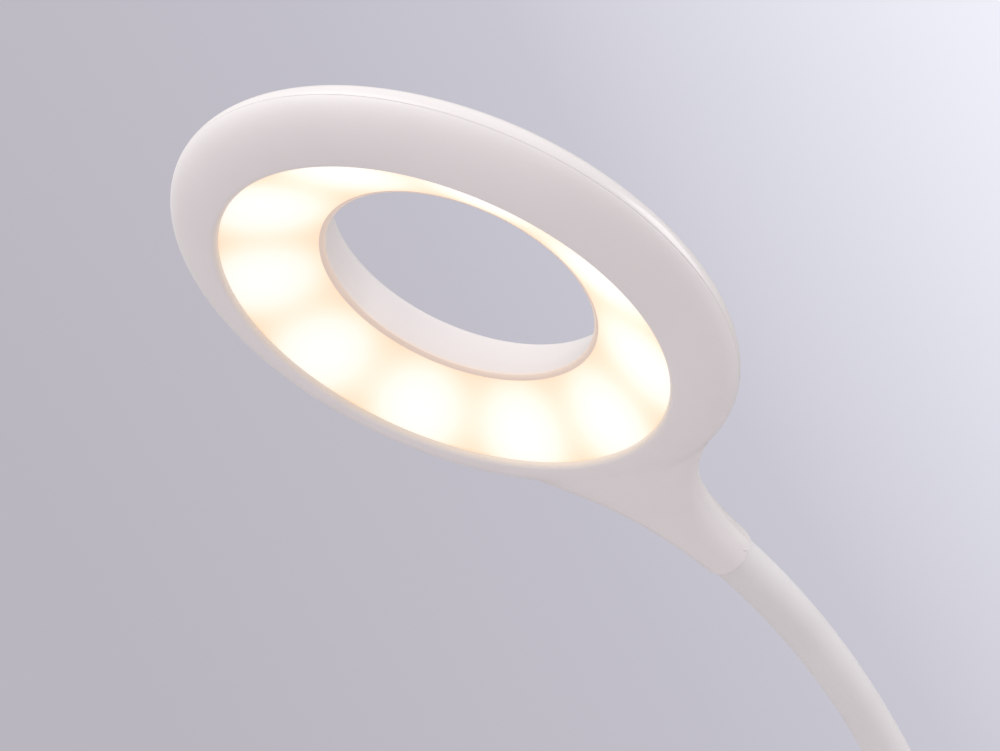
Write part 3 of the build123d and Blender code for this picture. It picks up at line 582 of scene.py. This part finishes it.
def front_shell():
    """The front housing: rolled mouth, rounded rim and the underside of the stem."""
    outer = all_round([resample(column.front_line(), FRONT_ROWS, False) for column in COLUMNS])
    normals = front_normals(outer)
    inner = (outer - normals * wall_at(outer))[::-FRONT_INNER_STEP]
    outer = round_edge(outer, normals, False)
    lip = [(MOUTH_RADIUS, WALL)]
    lip = lip + arc((LIP_RADIUS, MOUTH_ROUND), MOUTH_ROUND, 180, 90, MOUTH_STEPS)[:-1]
    back = ring_rows([(LIP_RADIUS, WALL)])
    return from_grid(np.concatenate([ring_rows(lip), outer, inner[:-1], back], axis=0))


def rear_shell():
    """The rear cover: dome, stem's back, the hole's rim and its tapered wall."""
    outer = all_round([resample(column.back_line(), BACK_ROWS, True) for column in COLUMNS])
    normals = back_normals(outer)
    inner = (outer - normals * wall_at(outer))[-BACK_INNER_STEP::-BACK_INNER_STEP]
    outer = round_edge(outer, normals, True)
    middle, bend, start, turn = RIM
    rim = arc(middle, bend, start, turn, RIM_STEPS)[1:]
    inner_rim = arc(middle, bend - WALL, start, turn, INNER_RIM_STEPS)[::-1]
    lip_back = LIP_DEPTH + LIP_SLOPE
    wall = []
    for share in HOLE_WALL_SHARES:
        radius = RIM_END[0] + (HOLE_RADIUS - RIM_END[0]) * share
        wall.append((radius, RIM_END[1] + (lip_back - RIM_END[1]) * share))
    lip = []
    for width_share, slope_share in LIP_BENDS:
        lip.append((HOLE_RADIUS + LIP_WIDTH * width_share, lip_back - LIP_SLOPE * slope_share))
    lip.append((HOLE_OUTER, LIP_DEPTH))
    lip.append((HOLE_OUTER, LIP_DEPTH + LIP_HEIGHT))
    lip.append((HOLE_RADIUS + LIP_WALL, LIP_DEPTH + LIP_HEIGHT))
    return from_grid(np.concatenate([outer, ring_rows(rim + wall + lip + inner_rim), inner], axis=0))


# Materials


def node_material(name):
    """A new material with its node tree, its main shader and its object coordinates."""
    material = bpy.data.materials.new(name)
    material.use_nodes = True
    nodes = material.node_tree.nodes
    shader = nodes["Principled BSDF"]
    place = nodes.new("ShaderNodeTexCoord")
    return material, nodes, material.node_tree.links, shader, place.outputs["Object"]


def add_noise(nodes, links, place, scale, detail=2.0, rough=0.5):
    """A noise over the object, as its output from 0 to 1."""
    noise = nodes.new("ShaderNodeTexNoise")
    noise.inputs["Scale"].default_value = scale
    noise.inputs["Detail"].default_value = detail
    noise.inputs["Roughness"].default_value = rough
    links.new(place, noise.inputs["Vector"])
    return noise.outputs["Fac"]


def add_grain(nodes, links, place, shader, scale, strength):
    """Gives a shader fine bumps."""
    bump = nodes.new("ShaderNodeBump")
    bump.inputs["Strength"].default_value = strength
    bump.inputs["Distance"].default_value = GRAIN_HEIGHT
    links.new(add_noise(nodes, links, place, scale, 4.0, 0.6), bump.inputs["Height"])
    links.new(bump.outputs["Normal"], shader.inputs["Normal"])


def color_ramp(nodes, stops):
    """A colour ramp with the given stops of (position, colour)."""
    ramp = nodes.new("ShaderNodeValToRGB")
    ramp.color_ramp.elements.remove(ramp.color_ramp.elements[1])
    for index, (position, color) in enumerate(stops):
        element = ramp.color_ramp.elements[0] if index == 0 else ramp.color_ramp.elements.new(position)
        element.position = position
        element.color = (*color, 1)
    return ramp


def plain_material(name, low, high, rough, grain=0.0, grain_scale=900.0, metal=0.0, coat=0.0):
    """A moulded or metal surface: a slight drift of colour and roughness, and a fine grain."""
    material, nodes, links, shader, place = node_material(name)
    tint = color_ramp(nodes, [(0.35, low), (0.65, high)])
    links.new(add_noise(nodes, links, place, TINT_SCALE), tint.inputs["Fac"])
    links.new(tint.outputs["Color"], shader.inputs["Base Color"])
    shader.inputs["Metallic"].default_value = metal
    shader.inputs["Coat Weight"].default_value = coat
    shader.inputs["Coat Roughness"].default_value = COAT_ROUGHNESS
    spread = nodes.new("ShaderNodeMapRange")
    spread.inputs["To Min"].default_value = rough * (1 - WEAR)
    spread.inputs["To Max"].default_value = rough * (1 + WEAR)
    links.new(add_noise(nodes, links, place, WEAR_SCALE), spread.inputs["Value"])
    links.new(spread.outputs["Result"], shader.inputs["Roughness"])
    if grain > 0:
        add_grain(nodes, links, place, shader, grain_scale, grain)
    return material


def glowing_material(name):
    """The milky diffuser: bright over the chips and amber between them, from the piece's own glow values."""
    material, nodes, links, shader, place = node_material(name)
    glow = nodes.new("ShaderNodeAttribute")
    glow.attribute_name = "glow"
    ramp = color_ramp(nodes, [
        (0.0, (0.70, 0.36, 0.14)),
        (0.45, (0.72, 0.50, 0.32)),
        (0.6, (0.735, 0.61, 0.46)),
        (0.75, (0.74, 0.69, 0.59)),
        (1.0, (0.74, 0.735, 0.72)),
    ])
    links.new(glow.outputs["Fac"], ramp.inputs["Fac"])
    links.new(ramp.outputs["Color"], shader.inputs["Emission Color"])
    shader.inputs["Emission Strength"].default_value = 1.0
    shader.inputs["Base Color"].default_value = (0.40, 0.37, 0.34, 1)
    shader.inputs["Roughness"].default_value = 0.42
    add_grain(nodes, links, place, shader, 1400.0, 0.06)
    return material


def add_painted_glow(material, warm, strength):
    """Paints the diffuser's light onto a shell's edge beside it, by the values kept on the piece: a painted
    warm glow mixed into the base colour, and a faint emission.
    """
    nodes, links = material.node_tree.nodes, material.node_tree.links
    shader = nodes["Principled BSDF"]
    painted_glow = nodes.new("ShaderNodeAttribute")
    painted_glow.attribute_name = "painted_glow"
    mix = nodes.new("ShaderNodeMix")
    mix.data_type = "RGBA"
    links.new(painted_glow.outputs["Fac"], mix.inputs["Factor"])
    links.new(shader.inputs["Base Color"].links[0].from_socket, mix.inputs["A"])
    mix.inputs["B"].default_value = (*warm, 1)
    links.new(mix.outputs["Result"], shader.inputs["Base Color"])
    power = nodes.new("ShaderNodeMath")
    power.operation = "MULTIPLY"
    power.inputs[1].default_value = strength
    links.new(painted_glow.outputs["Fac"], power.inputs[0])
    shader.inputs["Emission Color"].default_value = (*warm, 1)
    links.new(power.outputs["Value"], shader.inputs["Emission Strength"])


# Each plain material: its two tints, its roughness, its grain with the grain's scale, then metal and coat
PLAIN_MATERIALS = {
    "white_matte": ((0.755, 0.725, 0.735), (0.775, 0.745, 0.755), 0.42, 0.05, 1600.0),
    "white_gloss": ((0.765, 0.735, 0.742), (0.785, 0.755, 0.762), 0.30, 0.0, 1.0, 0.0, 0.3),
    "white_silicone": ((0.70, 0.685, 0.70), (0.73, 0.715, 0.73), 0.60, 0.12, 2200.0),
    "steel": ((0.50, 0.50, 0.52), (0.62, 0.62, 0.64), 0.32, 0.10, 1500.0, 1.0),
    "brass": ((0.68, 0.52, 0.26), (0.78, 0.62, 0.34), 0.28, 0.08, 1500.0, 1.0),
    "cast_weight": ((0.10, 0.10, 0.11), (0.16, 0.16, 0.17), 0.60, 0.50, 500.0, 0.3),
    "grey_rubber": ((0.17, 0.17, 0.18), (0.22, 0.22, 0.23), 0.75, 0.35, 1200.0),
    "battery_wrap": ((0.42, 0.43, 0.45), (0.50, 0.51, 0.53), 0.38, 0.25, 260.0, 0.6),
    "board_green": ((0.015, 0.15, 0.06), (0.025, 0.20, 0.09), 0.35, 0.15, 700.0),
    "board_white": ((0.74, 0.74, 0.72), (0.80, 0.80, 0.78), 0.35, 0.12, 700.0),
    "component_black": ((0.02, 0.02, 0.02), (0.04, 0.04, 0.04), 0.45, 0.2, 1500.0),
    "connector_cream": ((0.68, 0.62, 0.48), (0.76, 0.70, 0.56), 0.45, 0.1, 1200.0),
    "clear_lens": ((0.76, 0.80, 0.80), (0.80, 0.84, 0.84), 0.18, 0.05, 1200.0),
    "led_chip": ((0.85, 0.66, 0.20), (0.92, 0.74, 0.26), 0.30, 0.1, 2000.0),
    "lead_red": ((0.45, 0.03, 0.02), (0.55, 0.04, 0.03), 0.50, 0.1, 1200.0),
    "lead_black": ((0.02, 0.02, 0.02), (0.04, 0.04, 0.04), 0.50, 0.1, 1200.0),
    "lead_white": ((0.70, 0.70, 0.68), (0.78, 0.78, 0.76), 0.50, 0.1, 1200.0),
}
MATERIALS = {name: plain_material(name, *values) for name, values in PLAIN_MATERIALS.items()}
MATERIALS["milky_diffuser"] = glowing_material("milky_diffuser")
# The shells' edges beside the diffuser get a painted warm glow of its light
add_painted_glow(MATERIALS["white_matte"], (0.78, 0.70, 0.63), 0.03)
add_painted_glow(MATERIALS["white_gloss"], (0.78, 0.65, 0.56), 0.11)

for part in frame["record"]["subparts"]:
    node = frame["nodes"][part["node"]]
    for material_slot in node.material_slots:
        material_slot.material = MATERIALS[part["material_slot"]]


# The head's pieces


def add_values(piece, name, values):
    """Keeps a value at each of a piece's points for its material."""
    piece.data.attributes.new(name, "FLOAT", "POINT").data.foreach_set("value", values)


def head_points(piece):
    """The radius and the depth of each of a piece's points in the head's own frame."""
    back = HEAD.inverted()
    points = [back @ vert.co for vert in piece.data.vertices]
    return [(hypot(point.x, point.y), point.z) for point in points]


def front_painted_glow(radius):
    """How much painted glow of the diffuser's light tints the front housing: only the roll of its mouth."""
    return smooth_step((MOUTH_RADIUS + MOUTH_PAINTED_GLOW - radius) / MOUTH_PAINTED_GLOW)


def rear_painted_glow(radius, depth):
    """How much painted glow of the diffuser's light tints the rear cover: most on its lip, and fading up the
    wall of the hole.
    """
    if radius >= HOLE_OUTER + PAINTED_GLOW_REACH:
        return 0.0
    lip = smooth_step(1 - (depth - LIP_DEPTH - LIP_SLOPE) / LIP_PAINTED_GLOW)
    return max(lip, WALL_PAINTED_GLOW * exp(-max(0.0, depth - LIP_DEPTH) / WALL_PAINTED_GLOW_RUN))


def make_shells():
    """The head's two halves, with values for the painted glow of the diffuser's light at their edges."""
    front = finish_mesh("front_housing_shell", front_shell(), "head", "white_matte", "front_housing")
    add_values(front, "painted_glow", [front_painted_glow(radius) for radius, _ in head_points(front)])
    rear = finish_mesh("rear_cover_shell", rear_shell(), "head", "white_gloss", "rear_cover")
    add_values(rear, "painted_glow", [rear_painted_glow(radius, depth) for radius, depth in head_points(rear)])


def diffuser_glow(radius, angle):
    """How much light reaches a point of the cone from the chips behind it."""
    total = 0.0
    for index in range(LED_COUNT):
        turn = angle - 2 * pi / LED_COUNT * (index + 0.5)
        apart = radius**2 + GLOW_CIRCLE**2 - 2 * radius * GLOW_CIRCLE * cos(turn)
        total = total + (GLOW_SPREAD**2 / (apart + GLOW_SPREAD**2)) ** 2
    return 1 - exp(-GLOW_GAIN * total)


def make_diffuser():
    """The milky cone between the mouth and the hole."""
    profile = []
    for index in range(CONE_ROWS + 1):
        share = index / CONE_ROWS
        radius = MOUTH_RADIUS - DIFFUSER_GAP + (DIFFUSER_HOLE - MOUTH_RADIUS) * share
        profile.append((radius, DIFFUSER_FRONT + (LIP_DEPTH - DIFFUSER_FRONT) * share))
    profile.append((DIFFUSER_HOLE, LIP_DEPTH + DIFFUSER_WALL))
    profile.append(DIFFUSER_BEND)
    for depth in DIFFUSER_RIM_DEPTHS:
        profile.append((DIFFUSER_RIM, depth))
    mesh_data = spun(profile, CONE_SIDES)
    values = [diffuser_glow(hypot(v.co.x, v.co.y), atan2(v.co.x, v.co.y)) for v in mesh_data.verts]
    bmesh.ops.transform(mesh_data, matrix=HEAD, verts=mesh_data.verts[:])
    add_values(finish_mesh("diffuser_cone", mesh_data, "head", "milky_diffuser", "diffuser"), "glow", values)


# The neck: a smooth sleeve in pieces that meet in the middle of the links and bend over the joints


def tube_along(start, end):
    """A closed length of the sleeve between two distances along the neck."""
    stops = [start + (end - start) * index / SLEEVE_ROWS for index in range(SLEEVE_ROWS + 1)]
    profile = [(NECK_RADIUS, stop) for stop in stops] + [(NECK_BORE, stop) for stop in reversed(stops)]
    mesh_data = spun(profile, SLEEVE_SIDES)
    for vert in mesh_data.verts:
        vert.co = neck_place(vert.co.z) @ Vector((vert.co.x, vert.co.y, 0))
    return mesh_data


def make_neck():
    """One piece of sleeve over each joint, from the middle of the link below it to the middle of the link
    above, laid smoothly along the neck's curve.
    """
    for joint in range(1, JOINTS + 1):
        middle = FIRST_JOINT + LINK * (joint - 1)
        start = 0.0 if joint == 1 else middle - LINK / 2
        end = NECK_LENGTH + SLEEVE_INSERT if joint == JOINTS else middle + LINK / 2
        replaced = [f"neck_sleeve_{joint - 1:02d}"]
        if joint == JOINTS:
            replaced.append(f"neck_sleeve_{joint:02d}")
        sleeve = finish_mesh(f"sleeve_{joint:02d}", tube_along(start, end), None, "white_silicone", *replaced)
        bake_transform(sleeve)


# Stage: camera, backdrop and light


def set_camera():
    """The camera stands where the photograph was taken from, below the head and in front of it."""
    camera = bpy.data.objects.new("camera", bpy.data.cameras.new("camera"))
    scene.collection.objects.link(camera)
    camera.data.sensor_width = 36.0
    camera.data.lens = 43.2
    camera.data.clip_start = 0.01
    camera.data.shift_y = 0.002
    right = Vector(CAMERA_RIGHT).normalized()
    forward = Vector(CAMERA_FORWARD).normalized()
    up = right.cross(forward).normalized()
    matrix = Matrix((right, up, -forward)).transposed().to_4x4()
    matrix.translation = MOUTH_CENTRE + Vector(CAMERA_OFFSET)
    camera.matrix_world = matrix
    scene.camera = camera


def area_light(name, place, target, side, power, color):
    """A soft square light that faces a point."""
    light = bpy.data.lights.new(name, "AREA")
    light.shape = "RECTANGLE"
    light.size = side
    light.size_y = side
    light.energy = power
    light.color = color
    lamp = bpy.data.objects.new(name, light)
    scene.collection.objects.link(lamp)
    lamp.location = place
    lamp.visible_camera = False
    lamp.rotation_euler = (Vector(target) - Vector(place)).to_track_quat("-Z", "Y").to_euler()


def add_direction(nodes, links, place, direction):
    """How far each ray of the world points one way, from -1 to 1."""
    facing = nodes.new("ShaderNodeVectorMath")
    facing.operation = "DOT_PRODUCT"
    facing.inputs[1].default_value = direction
    links.new(place.outputs["Generated"], facing.inputs[0])
    return facing.outputs["Value"]


def add_range(nodes, links, value, start, end, low, high):
    """Maps a value from one range to another."""
    spread = nodes.new("ShaderNodeMapRange")
    spread.inputs["From Min"].default_value = start
    spread.inputs["From Max"].default_value = end
    spread.inputs["To Min"].default_value = low
    spread.inputs["To Max"].default_value = high
    links.new(value, spread.inputs["Value"])
    return spread


def set_world():
    """A lavender-grey backdrop, brighter to the upper right, and a soft light, mostly from the upper front."""
    world = bpy.data.worlds.new("backdrop")
    scene.world = world
    world.use_nodes = True
    nodes, links = world.node_tree.nodes, world.node_tree.links
    place = nodes.new("ShaderNodeTexCoord")
    rightward = add_direction(nodes, links, place, BACKDROP_DIRECTION)
    spread = add_range(nodes, links, rightward, *BACKDROP_RANGE, 0.0, 1.0)
    ramp = color_ramp(nodes, [
        (0.0, (0.490, 0.468, 0.520)),
        (0.44, (0.535, 0.520, 0.585)),
        (0.62, (0.585, 0.575, 0.645)),
        (0.81, (0.723, 0.723, 0.807)),
        (1.0, (0.870, 0.878, 0.955)),
    ])
    links.new(spread.outputs["Result"], ramp.inputs["Fac"])
    background = nodes["Background"]
    background.inputs["Strength"].default_value = 1.0
    links.new(ramp.outputs["Color"], background.inputs["Color"])
    frontward = add_direction(nodes, links, place, AMBIENT_DIRECTION)
    sky = add_range(nodes, links, frontward, -1.0, 1.0, *AMBIENT_STRENGTH)
    ambient = nodes.new("ShaderNodeBackground")
    ambient.inputs["Color"].default_value = (1.0, 0.966, 0.958, 1)
    links.new(sky.outputs["Result"], ambient.inputs["Strength"])
    rays = nodes.new("ShaderNodeLightPath")
    mix = nodes.new("ShaderNodeMixShader")
    links.new(rays.outputs["Is Camera Ray"], mix.inputs["Fac"])
    links.new(ambient.outputs["Background"], mix.inputs[1])
    links.new(background.outputs["Background"], mix.inputs[2])
    links.new(mix.outputs["Shader"], nodes["World Output"].inputs["Surface"])


def set_floor():
    """A pale round floor that fades into the backdrop."""
    mesh_data = bmesh.new()
    bmesh.ops.create_circle(mesh_data, cap_ends=True, segments=96, radius=FLOOR_RADIUS)
    mesh = bpy.data.meshes.new("floor")
    mesh_data.to_mesh(mesh)
    mesh_data.free()
    floor = bpy.data.objects.new("floor", mesh)
    scene.collection.objects.link(floor)
    floor.location.z = -FLOOR_DROP
    material, nodes, links, shader, place = node_material("floor")
    shader.inputs["Base Color"].default_value = (0.64, 0.615, 0.63, 1)
    shader.inputs["Roughness"].default_value = 0.7
    clear = nodes.new("ShaderNodeBsdfTransparent")
    length = nodes.new("ShaderNodeVectorMath")
    length.operation = "LENGTH"
    links.new(place, length.inputs[0])
    fade = add_range(nodes, links, length.outputs["Value"], *FLOOR_FADE, 0.0, 1.0)
    fade.interpolation_type = "SMOOTHSTEP"
    mix = nodes.new("ShaderNodeMixShader")
    links.new(fade.outputs["Result"], mix.inputs["Fac"])
    links.new(shader.outputs["BSDF"], mix.inputs[1])
    links.new(clear.outputs["BSDF"], mix.inputs[2])
    links.new(mix.outputs["Shader"], nodes["Material Output"].inputs["Surface"])
    mesh.materials.append(material)


make_shells()
make_diffuser()
make_neck()
set_camera()
set_world()
set_floor()
area_light("key", (0.05, -0.95, 1.00), (0, -0.15, 0.30), 0.9, 4.2, (1.0, 0.99, 0.98))
area_light("side", (0.75, 0.55, 0.70), (0, -0.10, 0.28), 0.6, 3.4, (1.0, 0.99, 1.0))
scene.view_settings.view_transform = "Standard"
